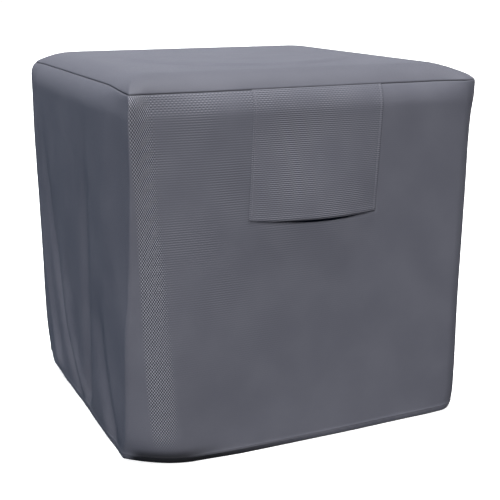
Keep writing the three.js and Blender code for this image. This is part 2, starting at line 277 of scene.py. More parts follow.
def corner_reach(side, height, inset):
    up = np.minimum(height / ROLL_CENTRE, 1)
    near_roll = smooth(height, ROLL_CENTRE - SHARPEST_EASE, ROLL_CENTRE)
    least = between(SHARPEST_ON_WALL, SHARPEST_ON_ROLL, near_roll)
    least = between(least, SHARPEST_ON_TOP, rounded(height))
    taken = CORNER_CURL[side] * curled(height) - inset
    back = np.maximum(between(HEM_BACK[side], SEAM_BACK[side], up) + taken, least)
    on = np.maximum(between(HEM_ON[side], SEAM_ON[side], up) + taken, least)
    return back, on


def outline(columns, height, inset):
    """Where each column stands, the way that the cloth faces there, and its place on its side."""
    half = HALF - inset
    back, on = corner_reach(columns.side, height, inset)
    _, on_before = corner_reach((columns.side + 3) % 4, height, inset)
    turn = np.maximum(columns.turn, 0)
    power = 2 / between(WALL_TURN, HEM_TURN[columns.side], curled(height))
    creased = CREASED[columns.side] * (1 - rounded(height))
    angle = turn * math.pi / 2
    cut_back = between(1 - np.sin(angle) ** power, (1 - turn) ** 2, creased)
    cut_on = between(1 - np.clip(np.cos(angle), 0, 1) ** power, turn, creased)
    walked = between(on_before - half, half - back, columns.share)
    if columns.at is not None:
        walked = columns.at - FLAP_LEAN * (FLAP_TOP - height) / (FLAP_TOP - FLAP_BOTTOM)
    ahead = np.where(columns.corner, half - back * cut_back, walked)
    aside = np.where(columns.corner, half - on * cut_on, half)
    facing = columns.side * math.pi / 2
    x = -np.cos(facing) * aside + np.sin(facing) * ahead
    y = -np.sin(facing) * aside - np.cos(facing) * ahead
    turned = facing + angle
    along = walked * (np.sin(facing) - np.cos(facing))
    end = columns.side * SIDE + HALF + half - back
    start_after = (columns.side + 1) * SIDE + HALF - half + on
    round_place = np.where(
        columns.corner, between(end, start_after, turn), columns.side * SIDE + HALF + walked
    )
    return x, y, -np.cos(turned), -np.sin(turned), along, round_place


print("outline ready")

# %% [markdown]
# ## The drape
# Cloth that hangs over a box is never flat. Its folds start small under the roll and lean as they
# fall, so each is a row of a table: where it starts, where its foot is, and how far it stands out
# there. A trough is a fold with a negative size. The hem is stiff, so it holds them down.

# %% Folds and hem line
HEM_LINE = [
    ("left", 372, -9, 130), ("left", 290, 4, 140), ("left", 190, 4, 160), ("left", -60, 4, 300),
    ("left", -300, 4, 200), ("left corner", 0.5, -1, 60),
    ("front", -310, -1, 60), ("front", -160, 7, 80), ("front", 70, 7, 260), ("front", 300, 3, 140),
    ("front corner", 0.5, -4, 60),
    ("right", -290, 0, 90), ("right", 0, 4, 260), ("right", 290, 0, 120),
    ("right corner", 0.5, -8, 70),
    ("back", 280, 0, 120), ("back", -20, 4, 240), ("back", -290, -1, 120),
    ("back corner", 0.6, -8, 230),
]
FOLD_COLUMNS = ("side", "top", "top_at", "foot", "foot_at", "bend", "top_out", "foot_out", "width")
FOLD_ROWS = [
    ("left", 760, 288, 10, -10, 2.8, -3, -19, 31),
    ("left", 640, 362, 0, 165, 2.9, 2, 12, 31),
    ("left", 800, 5, 330, 135, 1.0, 3, 3, 56),
    ("left", 480, 142, 10, -30, 2.6, 2, 11, 32),
    ("left", 800, -135, 10, -56, 0.6, -4, -16, 30),
    ("left", 790, -291, 400, -258, 1.0, 3, 1, 50),
    ("left", 380, -178, 10, -292, 2.4, -3, -17, 38),
    ("left", 290, -235, 0, -335, 1.1, 1, 3, 34),
    ("front", 520, -250, 30, -200, 1.2, 0.5, -2, 90),
    ("right", 760, -150, 10, -60, 1.6, -2, -8, 60),
    ("right", 700, 150, 10, 210, 1.4, -2, -6, 52),
    ("back", 780, 190, 10, 90, 1.8, -3, -9, 55),
    ("back", 760, -120, 10, -190, 1.5, -2, -8, 50),
]
FOLDS = [dict(zip(FOLD_COLUMNS, row)) for row in FOLD_ROWS]
FOLD_START = 0.4
HEM_HOLD, HEM_HOLD_HEIGHT = 0.1, 55
CORNER_SHARE = 0.2


def round_plan(side, share, turn, corner):
    """A column's place round the cover counted in sides. A corner takes the last fifth."""
    on_side = share * (1 - CORNER_SHARE)
    return side + np.where(corner, 1 - CORNER_SHARE * (1 - turn), on_side)


def hem_marks():
    """Each hem row's place round the cover, how far it stands out and how high that reaches."""
    marks = []
    for name, at, out, reach in HEM_LINE:
        side = SIDE_NUMBERS[name.split()[0]]
        if name.endswith("corner"):
            marks.append((round_plan(side, 0, at, True), out, reach))
            continue
        ends = Columns([side, side], [0, 1], [-1, -1])
        along = outline(ends, 0, 0)[4]
        share = (at - along[0]) / (along[1] - along[0])
        marks.append((round_plan(side, share, 0, False), out, reach))
    return np.array(marks)


MARKS = hem_marks()


def hem_at(columns):
    place = round_plan(columns.side, columns.share, columns.turn, columns.corner)
    following = np.searchsorted(MARKS[:, 0], place, side="right") % len(MARKS)
    last, following = MARKS[following - 1], MARKS[following]
    span = (following[:, 0] - last[:, 0]) % 4
    share = smooth((place - last[:, 0]) % 4 / span, 0, 1)
    return between(last[:, 1], following[:, 1], share), between(last[:, 2], following[:, 2], share)


def fold_out(fold, columns, along, height):
    down = (fold["top"] - height) / (fold["top"] - fold["foot"])
    fallen = np.clip(down, 0, 1)
    middle = between(fold["top_at"], fold["foot_at"], fallen ** fold["bend"])
    away = (along - middle) / fold["width"]
    to_corner = HALF - SHARPEST_ON_ROLL - np.abs(along)
    rise = between(fold["top_out"], fold["foot_out"], fallen) * smooth(down, 0, FOLD_START)
    here = (columns.side == SIDE_NUMBERS[fold["side"]]) & ~columns.corner
    return rise * np.exp(-away * away) * smooth(to_corner, 0, fold["width"]) * here


def ear_out(x, y, height):
    """How far a corner stands out as an ear, or is drawn in."""
    total = 0
    for ear in EARS:
        near = (x * ear["x"] > 0) & (y * ear["y"] > 0)
        aside = (HALF - np.minimum(np.abs(x), np.abs(y))) / ear["along"]
        above = height - ear["height"]
        off = np.abs(above) / np.where(above > 0, ear["above"], ear["below"])
        total = total + near * ear["out"] * np.exp(-aside * aside - off ** ear["power"])
    return total


print(len(FOLDS), "folds and", len(MARKS), "hem marks")

# %% [markdown]
# ## The vent
# The vent is a slot in the front wall under a flap. The flap's free edge bows out, and the wall's
# lower lip is pushed in and sags, so a dark lens of the hollow inside shows under the flap. A real
# slot in the mesh gives that dark by itself, which a painted shadow would not from other sides.

# %% Vent sizes
DENT_DEPTH, DENT_ABOVE, DENT_BELOW = 9, 70, 16
SLOT_SAG = 10
SLOT_TOP = 600
SLOT_EASE = 28
SLOT_SKEW = 0.4
SLOT_LEFT, SLOT_RIGHT = -120, 152
SAG_LEFT, SAG_RIGHT = 100, 70


def flap_opening(along):
    """0 at the sides of the flap's foot and 1 in its middle."""
    share = (along + FLAP_LEAN - (FLAP_LEFT + FLAP_RIGHT) / 2) / ((FLAP_RIGHT - FLAP_LEFT) / 2)
    return np.maximum(0, 1 - share * share)


def vent_dent(on_front, along, height):
    above = smooth(height, FLAP_BOTTOM, FLAP_BOTTOM + DENT_ABOVE)
    below = smooth(FLAP_BOTTOM - height, 0, DENT_BELOW)
    return on_front * DENT_DEPTH * flap_opening(along) * (1 - above) * (1 - below)


print("slot sags", SLOT_SAG, "mm below the flap")

# %% [markdown]
# ## Small unevenness
# Between its folds the cloth still swells and dips by a millimetre or two, and it puckers along
# a seam, where the thread draws it in. Both are smooth noise, made from a seeded table of random
# numbers, so that every run gives the same cloth.

# %% Soft noise
TABLE_SIZE = 64


def hills(across, down, size, seed, wrap=None):
    """Smooth random hills from -1 to 1, about one size across. Wrap is the length of a ring."""
    count = TABLE_SIZE if wrap is None else round(wrap / size)
    size_across = size if wrap is None else wrap / count
    table = np.random.default_rng(seed).uniform(-1, 1, (count, TABLE_SIZE))
    a, b = across / size_across, down / size
    low_a, low_b = np.floor(a).astype(int), np.floor(b).astype(int)
    share_a, share_b = smooth(a - low_a, 0, 1), smooth(b - low_b, 0, 1)

    def corner(step_a, step_b):
        return table[(low_a + step_a) % count, (low_b + step_b) % TABLE_SIZE]

    near = between(corner(0, 0), corner(1, 0), share_a)
    far = between(corner(0, 1), corner(1, 1), share_a)
    return between(near, far, share_b)


RING = 4 * SIDE
SIDE_UNEVEN = np.array([1.6, 0.55, 1, 1])
UNEVEN = [
    {"size": 210, "out": 1.6, "seed": 3},
    {"size": 82, "out": 0.7, "seed": 8},
    {"size": 34, "out": 0.22, "seed": 5},
]
UNEVEN_DRAWN_OUT = 0.6
UNEVEN_TOP, UNEVEN_TOP_EASE, UNEVEN_FOOT = ROLL_CENTRE + 20, 160, 40


def unevenness(columns, round_place, height):
    after = SIDE_UNEVEN[(columns.side + 1) % 4]
    most = between(SIDE_UNEVEN[columns.side], after, np.maximum(columns.turn, 0))
    down = height * UNEVEN_DRAWN_OUT
    total = sum(row["out"] * hills(round_place, down, row["size"], row["seed"], RING) for row in UNEVEN)
    fading = smooth(UNEVEN_TOP - height, 0, UNEVEN_TOP_EASE)
    return most * total * fading * smooth(height, 0, UNEVEN_FOOT)


print("unevenness in", len(UNEVEN), "sizes")

# %% [markdown]
# ## The cloth's surface
# Every sheet takes its points from one function, which adds the hem, the folds, the corners' ears
# and the dent to the outline. The seam runs part of the way down the roll, at its own angle on
# each side. The top panel, the wall and the flap so fit each other to a fraction of a millimetre.

# %% The cloth's surface


def cloth(columns, height, inset):
    """Points of the cloth's outer face, and their place round the cover."""
    x, y, face_x, face_y, along, round_place = outline(columns, height, inset)
    hem_out, hem_reach = hem_at(columns)
    folds = sum(fold_out(fold, columns, along, height) for fold in FOLDS)
    held = between(HEM_HOLD, 1, smooth(height, 0, HEM_HOLD_HEIGHT))
    drape = hem_out * np.maximum(0, 1 - height / hem_reach) ** 2 + folds * held
    drape = drape + unevenness(columns, round_place, height)
    below_seam = smooth(ROLL_CENTRE + ROLL_RADIUS / 3 - height, 0, ROLL_RADIUS)
    on_front = (columns.side == FRONT) & ~columns.corner
    out = drape * below_seam + ear_out(x, y, height) - vent_dent(on_front, along, height)
    points = np.stack([x + face_x * out, y + face_y * out, height + 0 * x], axis=-1)
    return points, round_place


def roll(columns, angle):
    """Points of the roll, at an angle down from the level top."""
    height = ROLL_CENTRE + ROLL_RADIUS * np.cos(angle)
    return cloth(columns, height, ROLL_RADIUS * (1 - np.sin(angle)))


def seam_angle(columns):
    after = SEAM_ANGLES[(columns.side + 1) % 4]
    turned = np.maximum(columns.turn, 0)
    eased = np.where(columns.corner, 1, smooth(columns.share, SEAM_EASE, 1))
    return between(SEAM_ANGLES[columns.side], after, np.where(CREASED[columns.side], eased, turned))


def facings(points, ring):
    """The way that a grid of points faces, from the points around each."""
    down = np.gradient(points, axis=0)
    if ring:
        across = (np.roll(points, -1, axis=1) - np.roll(points, 1, axis=1)) / 2
    else:
        across = np.gradient(points, axis=1)
    normals = np.cross(down, across)
    return normals / np.linalg.norm(normals, axis=-1, keepdims=True)


print("surface ready")

# %% [markdown]
# ## From a grid of points to a sheet of cloth
# A sheet is made as one layer of faces and then given its thickness by a Solidify modifier, which
# closes its edges too. Its texture coordinates are in metres of cloth, so that the weave has the
# same size on every piece.

# %% Sheet maker
CLOTH_THICKNESS = 1.0


def sheet_object(name, points, flat_places, ring, seam, crown=None, holes=None):
    """A cloth sheet from a grid of points, in mm, with the place of each on the flat cloth.
    Seam says for each row how near it is to the seam, 1 on it and 0 away from it."""
    rows, columns = points.shape[:2]
    vertices = [tuple(point * MM) for point in points.reshape(-1, 3)]
    spans = columns if ring else columns - 1
    faces, places = [], []
    for row in range(rows - 1):
        for column in range(spans):
            if holes is not None and holes[row, column]:
                continue
            after = (column + 1) % columns
            grid = [(row, column), (row + 1, column), (row + 1, after), (row, after)]
            faces.append([r * columns + c for r, c in grid])
            for r, c in grid:
                place = flat_places[r, c].copy()
                if ring == "wall" and after == 0 and c == 0:
                    place[0] += RING
                places.append(place * MM)
    if crown is not None:
        vertices.append(tuple(np.array(crown) * MM))
        for column in range(columns):
            after = (column + 1) % columns
            faces.append([len(vertices) - 1, column, after])
            places += [np.zeros(2), flat_places[0, column] * MM, flat_places[0, after] * MM]
    mesh = bpy.data.meshes.new(name)
    mesh.from_pydata(vertices, [], faces)
    layer = mesh.uv_layers.new(name="flat_cloth")
    layer.data.foreach_set("uv", np.array(places, np.float32).ravel())
    near_seam = mesh.attributes.new("near_seam", "FLOAT", "POINT")
    shares = list(np.repeat(seam, columns)) + [0] * (len(vertices) - rows * columns)
    near_seam.data.foreach_set("value", np.array(shares, np.float32))
    mesh.shade_smooth()
    mesh.update()
    made = bpy.data.objects.new(name, mesh)
    bpy.context.scene.collection.objects.link(made)
    solidify = made.modifiers.new("thickness", "SOLIDIFY")
    solidify.thickness = CLOTH_THICKNESS * MM
    solidify.offset = -1
    solidify.use_even_offset = True
    depsgraph = bpy.context.evaluated_depsgraph_get()
    thick = bpy.data.meshes.new_from_object(made.evaluated_get(depsgraph))
    made.modifiers.clear()
    made.data = thick
    return made


print("sheet maker ready")

# %% [markdown]
# ## The wall
# The wall is one strip. Its rows are close together at the seam and at the hem, and wider between.
# The hem is turned: the cloth goes under, comes up inside for 12 mm and is stitched down, so the
# rows go on round the lower edge and up the inside. The stitches draw a shallow groove with a
# low ridge above it, and the band below them tucks in.

# %% Wall rows
SIDE_COLUMNS = (112, 84, 56, 56)
CORNER_COLUMNS = 14
SEAM_GAP = 0.3
HEM_DEPTH = 12
HEM_TUCK = 2.4
GROOVE_DEPTH, GROOVE_WIDTH = 0.7, 1.4
RIDGE_OUT, RIDGE_ABOVE, RIDGE_WIDTH = 1.1, 3, 2.6
TURN_RADIUS, TURN_ROWS = 1.15, 6

SEAM_STEPS = [0, 0.8, 1.8, 3.2, 5, 8, 12, 18, 25, 33, 42]
SEAM_DIP, SEAM_WIDTH = 1.5, 1.6
PUCKER_OUT, PUCKER_SIZE, PUCKER_REACH, PUCKER_SEED = 0.45, 24, 13, 12
WALL_HEIGHTS = np.concatenate([
    np.linspace(ROLL_CENTRE, 610, 20)[1:],
    np.linspace(610, FLAP_BOTTOM, 15)[1:],
    np.linspace(FLAP_BOTTOM, 500, 9)[1:],
    np.linspace(500, 44, 52)[1:],
    [36, 30, 24, 20, 17.5, 16, 15, 14, 13, 12, 11, 10, 8, 6, 4, 2.5, TURN_RADIUS],
])


def foot_sag(along):
    """How far the flap's foot hangs below its straight line."""
    from_right = np.clip((FLAP_RIGHT - FLAP_LEAN - along) / (FLAP_RIGHT - FLAP_LEFT), 0, 1)
    return FLAP_DROP * flap_opening(along) - FLAP_RISE * from_right


def flap_sag(columns, height):
    """How far a row near the flap's foot is let down."""
    near = 1 - smooth(height, FLAP_BOTTOM, FLAP_BOTTOM + FLAP_DROP_HEIGHT)
    return near * foot_sag(columns.at - FLAP_LEAN)


def slot_sag(columns, height):
    """How far a row near the slot is let down, so that one row follows its sagging lip."""
    along = outline(columns, height, 0)[4]
    on_front = (columns.side == FRONT) & ~columns.corner
    share = np.clip((along - SLOT_LEFT) / (SLOT_RIGHT - SLOT_LEFT), 0, 1)
    lens = SLOT_SAG * 4 * share * (1 - share) * (1 + SLOT_SKEW * (share - 0.5))
    from_left = smooth(along, SLOT_LEFT - SAG_LEFT, SLOT_LEFT)
    to_right = 1 - smooth(along, SLOT_RIGHT, SLOT_RIGHT + SAG_RIGHT)
    near = np.exp(-(((height - FLAP_BOTTOM) / SLOT_EASE) ** 2))
    return on_front * near * (lens + foot_sag(along) * from_left * to_right)


def wall_grid(columns, bottom, sag):
    """The wall's outer face from the seam down, with each point's place on the flat cloth."""
    first = seam_angle(columns) + SEAM_GAP / ROLL_RADIUS
    roll_start = first + SEAM_STEPS[-1] / ROLL_RADIUS
    angles = [first + step / ROLL_RADIUS for step in SEAM_STEPS]
    angles += [between(roll_start, math.pi / 2, share) for share in (1 / 3, 2 / 3, 1)]
    points, flat = [], []
    for angle in angles:
        line, round_place = roll(columns, angle)
        points.append(line)
        flat.append(np.stack([round_place, ROLL_CENTRE + (math.pi / 2 - angle) * ROLL_RADIUS], -1))
    for height in WALL_HEIGHTS[WALL_HEIGHTS >= bottom]:
        line, round_place = cloth(columns, height - sag(columns, height), 0)
        points.append(line)
        flat.append(np.stack([round_place, line[:, 2]], -1))
    return np.array(points), np.array(flat)


def seam_dip(step):
    """How far cloth is drawn in at this distance from a seam."""
    return SEAM_DIP * np.exp(-((step / SEAM_WIDTH) ** 2))


def seam_share(steps, rows):
    """How near each row of a sheet is to its seam, for a sheet whose first rows are at it."""
    share = np.exp(-((np.array(steps) / SEAM_WIDTH) ** 2))
    return np.concatenate([share, np.zeros(rows - len(steps))])


def puckers(steps, round_place):
    """The small swells that the seam's thread draws up beside it, a row for each step."""
    fading = np.exp(-((np.array(steps) / PUCKER_REACH) ** 2))[:, None]
    return PUCKER_OUT * fading * hills(round_place, 0 * round_place, PUCKER_SIZE, PUCKER_SEED, RING)


def hem_shape(height):
    """How far the cloth stands out near the hem: a groove at the stitches and a tucked band."""
    groove = GROOVE_DEPTH * np.exp(-(((height - HEM_DEPTH) / GROOVE_WIDTH) ** 2))
    ridge = RIDGE_OUT * np.exp(-(((height - HEM_DEPTH - RIDGE_ABOVE) / RIDGE_WIDTH) ** 2))
    return ridge - groove - HEM_TUCK * (1 - smooth(height, 0, HEM_DEPTH - 2))


print(len(SEAM_STEPS), "rows near the seam and", len(WALL_HEIGHTS), "below the roll")

# %% Make the wall
columns = Columns.round_the_cover(SIDE_COLUMNS, CORNER_COLUMNS)
wall_points, wall_flat = wall_grid(columns, 0, slot_sag)
wall_facing = facings(wall_points, ring=True)

seam_rows = slice(0, len(SEAM_STEPS))
first_wall_row = len(wall_points) - len(WALL_HEIGHTS)
lift = np.zeros(len(wall_points))
lift[seam_rows] = -seam_dip(np.array(SEAM_STEPS))
lift[first_wall_row:] += hem_shape(WALL_HEIGHTS)
wall_points += lift[:, None, None] * wall_facing
swell = puckers(SEAM_STEPS, wall_flat[0, :, 0])
wall_points[seam_rows] += swell[:, :, None] * wall_facing[seam_rows]

level = wall_facing[-1] * [1, 1, 0]
level /= np.linalg.norm(level, axis=-1, keepdims=True)
under_points, under_flat = [], []
for turn in np.linspace(0, math.pi, TURN_ROWS + 1)[1:]:
    step = np.array([math.cos(turn) - 1, math.cos(turn) - 1, -math.sin(turn)]) * TURN_RADIUS
    under_points.append(wall_points[-1] + np.where([1, 1, 0], level, 1) * step)
    under_flat.append(wall_flat[-1] - [0, turn * TURN_RADIUS])
for row in range(len(wall_points) - 2, 0, -1):
    if wall_flat[row, 0, 1] <= HEM_DEPTH + 1:
        under_points.append(wall_points[row] - 2 * TURN_RADIUS * level)
        under_flat.append(wall_flat[row] * [1, -1])
all_points = np.concatenate([wall_points, under_points])
all_flat = np.concatenate([wall_flat, under_flat])

lip = first_wall_row + int(np.argmin(np.abs(WALL_HEIGHTS - FLAP_BOTTOM)))
slot_top = first_wall_row + int(np.argmin(np.abs(WALL_HEIGHTS - SLOT_TOP)))
lip_along = all_points[lip, :, 0]
in_flap = (columns.side == FRONT) & (lip_along > SLOT_LEFT) & (lip_along < SLOT_RIGHT)
holes = np.zeros((len(all_points) - 1, len(columns.side)), bool)
holes[slot_top:lip, in_flap] = True
wall_seam = seam_share(SEAM_STEPS, len(all_points))
wall = sheet_object("wall_cloth", all_points, all_flat, ring="wall", seam=wall_seam, holes=holes)
print("wall", len(wall.data.polygons), "faces, slot of", int(holes.sum()), "faces left out")

# %% [markdown]
# ## The top panel
# The top is a square with round corners. Its middle is lifted a little by the round guard of the
# fan below, and its edges run down the roll to the seam. The grid starts as circles and turns into
# the square, with the panel's crown as its one middle point.

# %% Make the top panel
TOP_STEPS = [*SEAM_STEPS, 52]
TOP_SWAY, TOP_SWAY_SIZE, TOP_SWAY_EASE, TOP_SWAY_SEED = 0.8, 150, 60, 21
PLATEAU_RIM = 22


def plateau(points):
    """Lifts level points to the top's height, higher within the round guard."""
    away = np.hypot(points[..., 0], points[..., 1]) - PLATEAU_RADIUS
    risen = 1 - smooth(away, -PLATEAU_SLOPE / 2, PLATEAU_SLOPE / 2)
    sway = TOP_SWAY * hills(points[..., 0], points[..., 1], TOP_SWAY_SIZE, TOP_SWAY_SEED)
    inside_rim = smooth(-away, -TOP_SWAY_EASE, TOP_SWAY_EASE)
    points[..., 2] = HEIGHT + PLATEAU_RISE * risen + sway * inside_rim
    return points


level_edge, _ = roll(columns, np.zeros(len(columns.side)))
edge_radius = np.hypot(level_edge[:, 0], level_edge[:, 1])
outward = level_edge[:, :2] / edge_radius[:, None]
radii = np.concatenate([
    [25, 60, 100, 140, 180, 215, 240],
    np.linspace(PLATEAU_RADIUS - PLATEAU_RIM, PLATEAU_RADIUS + PLATEAU_RIM, 9),
])
top_points, top_flat = [], []
for radius in radii:
    ring = np.zeros((len(columns.side), 3))
    ring[:, :2] = outward * radius
    top_points.append(plateau(ring))
    top_flat.append(ring[:, :2].copy())
circle = top_points[-1]
for share in np.linspace(0, 1, 5)[1:-1]:
    ring = between(circle, level_edge, share)
    top_points.append(plateau(ring))
    top_flat.append(ring[:, :2].copy())
last = seam_angle(columns)
arc = last * ROLL_RADIUS
roll_arcs = [arc * share for share in (0, 0.1, 0.2, 0.3)] + [arc - step for step in TOP_STEPS[::-1]]
for distance in roll_arcs:
    line, _ = roll(columns, distance / ROLL_RADIUS)
    top_points.append(line)
    top_flat.append(level_edge[:, :2] + outward * distance[:, None])
top_points, top_flat = np.array(top_points), np.array(top_flat)
top_facing = facings(top_points, ring=True)
last_rows = slice(-len(TOP_STEPS), None)
top_lift = np.zeros(len(top_points))
top_lift[last_rows] = -seam_dip(np.array(TOP_STEPS[::-1]))
top_points += top_lift[:, None, None] * top_facing
swell = puckers(TOP_STEPS[::-1], wall_flat[0, :, 0])
top_points[last_rows] += swell[:, :, None] * top_facing[last_rows]
crown = [0, 0, float(top_points[0, :, 2].mean())]
top_seam = seam_share(TOP_STEPS, len(top_points))[::-1]
top = sheet_object("top_cloth", top_points, top_flat, ring="top", seam=top_seam, crown=crown)
print("top panel", len(top.data.polygons), "faces")

# %% [markdown]
# ## The vent flap
# The flap lies on the wall from the seam down and bows away at its foot. It takes its points from
# the wall's own surface, so the two never cut through each other. Its sides and its foot are
# turned under and stitched, which leaves a slightly raised edge.

# %% Make the flap
FLAP_COLUMNS = 60
FLAP_EDGE = 6
FLAP_FOOT = 10.5
FLAP_OFF_WALL = SEAM_GAP + CLOTH_THICKNESS + 0.5
FLAP_HEM_OUT = 0.5
FLAP_RIM, FLAP_RIM_IN = 2.5, 0.6
FLAP_DIP_SHARE = 0.8
edge_steps = np.array([0, 1, FLAP_RIM, 4, FLAP_EDGE, 8])
flap_at = np.concatenate([
    FLAP_LEFT + edge_steps,
    np.linspace(FLAP_LEFT + 12, FLAP_RIGHT - 12, FLAP_COLUMNS),
    FLAP_RIGHT - edge_steps[::-1],
])
flap_columns = Columns(
    [FRONT] * len(flap_at), (flap_at + HALF) / SIDE, [-1] * len(flap_at), at=flap_at
)
flap_points, flap_flat = wall_grid(flap_columns, FLAP_BOTTOM, flap_sag)
flap_flat[..., 0] = FRONT * SIDE + HALF + flap_at
flap_facing = facings(flap_points, ring=False)
flap_height = flap_points[..., 2]
closed = smooth(flap_height, FLAP_BOTTOM, FLAP_BOTTOM + FLAP_BOW_HEIGHT)
bow = FLAP_BOW * flap_opening(flap_points[..., 0]) * (1 - closed)
dent = vent_dent(1, flap_points[..., 0], flap_height)
flap_points = flap_points + flap_facing * FLAP_OFF_WALL
flap_points[..., 1] -= bow + dent
from_side = np.minimum(flap_at - FLAP_LEFT, FLAP_RIGHT - flap_at)
side_hem = FLAP_HEM_OUT * (1 - smooth(from_side, FLAP_EDGE - 2, FLAP_EDGE))
side_rim = FLAP_RIM_IN * (1 - smooth(from_side, 0, FLAP_RIM))
side_groove = FLAP_HEM_OUT * np.exp(-(((from_side - FLAP_EDGE) / GROOVE_WIDTH) ** 2))
foot_hem = FLAP_HEM_OUT * (1 - smooth(flap_height, FLAP_BOTTOM + 9, FLAP_BOTTOM + 12))
flap_points += flap_facing * (side_hem - side_rim - side_groove + foot_hem)[..., None]
flap_dip = np.zeros(len(flap_points))
flap_dip[:len(SEAM_STEPS)] = seam_dip(np.array(SEAM_STEPS)) * FLAP_DIP_SHARE
flap_points -= flap_dip[:, None, None] * flap_facing
flap_seam = seam_share(SEAM_STEPS, len(flap_points))
flap = sheet_object("flap_cloth", flap_points, flap_flat, ring=None, seam=flap_seam)
print("flap", len(flap.data.polygons), "faces")

# %% [markdown]
# ## The cloth's finish
# The cloth is a grey polyester weave with a thin matte coat. Its threads show most where light
# rakes over them, so they are a bump, with three scales: a basket lattice that the eye sees from
# a step away, the picks that run across, a little closer together on the flap, and the fine
# threads. The lattice and the picks show in the colour as well. Shade is painted into the colour:
# the turned hem, most at its lower edge, the band above it on the front, the curled foot of the
# front left corner, the left side's foot and the top's front and left edges are painted darker.
# A pale line runs along the ridge above the hem. Broad soft patches keep the grey alive.

# %% Cloth material
CLOTH_GREY = (0.104, 0.105, 0.128, 1)
PALE_GREY = (0.118, 0.119, 0.143, 1)
THREAD_DARK = (0.026, 0.027, 0.035, 1)
THREAD_LIGHT = (0.265, 0.266, 0.300, 1)
LATTICE = 8.2 * MM
WALL_PICKS, FLAP_PICKS = 5.15 * MM, 4.4 * MM
THREAD = 1.35 * MM
PATCH_SIZE, FADING_SIZE = 0.11, 0.09
LATTICE_FADES, PICKS_FADE = 0.45, 0.6
SEAM_DARKENS = 0.8
SMOOTHEST, ROUGHER = 0.58, 0.1
WEAVE_HEIGHT, THREAD_HEIGHT, STITCH_HEIGHT = 0.6, 0.2, 0.5
SEAM_SHADE = (0.030, 0.030, 0.038, 1)
# The colour of painted shade, on the wall's foot and on the top's front and left edges.
FOOT_SHADE = (0.008, 0.008, 0.010, 1)
STITCH_GREY = (0.17, 0.17, 0.20, 1)
STITCH, STITCH_WIDTH = 3.6 * MM, 0.8 * MM


def within(place, band):
    """1 within a band of the cloth and 0 outside it, with a soft rise and a soft fall."""
    rise_from, rise_to, fall_from, fall_to = band
    return place.ramp(rise_from, rise_to) * (1 - place.ramp(fall_from, fall_to))


def line_at(place, line):
    """1 on a stitched line of the flat cloth and 0 away from it."""
    return 1 - (place - line).math("ABSOLUTE").ramp(STITCH_WIDTH / 2, STITCH_WIDTH)


def dashes(place):
    """The stitches along a line, with short gaps between them."""
    return place.wave(STITCH).ramp(-0.6, 0.1)


def cloth_finish(name, pick_length, show_lattice, show_picks, stitched, painted_shade):
    """The cover's cloth, with the distance from pick to pick. The four functions say where its
    lattice, its picks and its stitches show and where shade is painted into its colour, at a place on
    it."""
    shader = new_finish(name, Specular_IOR_Level=0.25)
    flat = shader.node("ShaderNodeUVMap", {"uv_map": "flat_cloth"})
    across, down, _ = shader.split(flat)
    place = shader.node("ShaderNodeTexCoord", output=3)
    patches = shader.noise(place, PATCH_SIZE, 3.0).ramp(0.3, 0.75)
    fading = shader.noise(place, FADING_SIZE).ramp(0.25, 0.75)
    lattice = across.wave(LATTICE) * down.wave(LATTICE)
    picks = down.wave(pick_length)
    threads = across.wave(THREAD) * down.wave(THREAD)
    lattice_shown = show_lattice(across, down) * (1 - LATTICE_FADES + fading * LATTICE_FADES)
    picks_shown = show_picks(across, down) * (1 - PICKS_FADE + fading * PICKS_FADE)
    weave = lattice * lattice_shown + picks * picks_shown
    grey = shader.mix(patches, CLOTH_GREY, PALE_GREY)
    lighter = shader.mix(weave.ramp(0, 1), grey, THREAD_LIGHT)
    woven = shader.mix((0 - weave).ramp(0, 1), lighter, THREAD_DARK)
    near_seam = shader.node("ShaderNodeAttribute", {"attribute_name": "near_seam"}, output=2)
    seamed = shader.mix(near_seam * SEAM_DARKENS, woven, SEAM_SHADE)
    stitches = stitched(across, down)
    sewn = shader.mix(stitches, seamed, STITCH_GREY)
    # Painted shade: the colour goes towards FOOT_SHADE where the painted shade mask is high.
    shader.paint("Base Color", shader.mix(painted_shade(across, down), sewn, FOOT_SHADE))
    shader.paint("Roughness", SMOOTHEST + patches * ROUGHER)
    height = weave * WEAVE_HEIGHT + threads * THREAD_HEIGHT + stitches * STITCH_HEIGHT
    bump = {"Strength": 0.5, "Distance": 0.0006, "Height": height}
    shader.paint("Normal", shader.node("ShaderNodeBump", inputs=bump))
    return shader.owner


# Bands of the wall's strip, in metres: each starts, is full, begins to fade and is gone.
CREASE_BAND = (0.872, 0.893, 0.93, 0.975)
CREASE_SLANT = 0.045
UNDER_SEAM_BAND = (0.86, 0.89, 1.1, 1.3)
PICKS_BAND = (0.88, 0.93, 1.1, 1.6)
PALE_RIDGE_BAND = (0.9, 0.98, 1.15, 1.5)
FRONT_BAND = (0.79, 0.83, 1.6, 1.76)
LEFT_FOOT_BAND = (0.79, 0.84, 0.95, 1.08)
LEFT_HEM_BAND = (0.3, 0.5, 0.78, 0.83)
CREASE_LATTICE, UNDER_SEAM_LATTICE, LEAST_LATTICE = 2.6, 0.36, 0.05
WALL_PICKS_SHOWN, LEAST_PICKS = 0.42, 0.06
HEM_STITCHES, PALE_RIDGE = 0.7, 0.8
# How much shade is painted on the wall's foot: its lower edge, the whole hem, the front's hem and the
# band above it, the curled front left foot and the left side's foot.
EDGE_DARK, HEM_DARK, HEM_DARK_ALL_ROUND, ABOVE_HEM_DARK = 0.55, 0.5, 0.06, 0.34
CURLED_DARK, LEFT_HEM_DARK = 0.5, 0.28


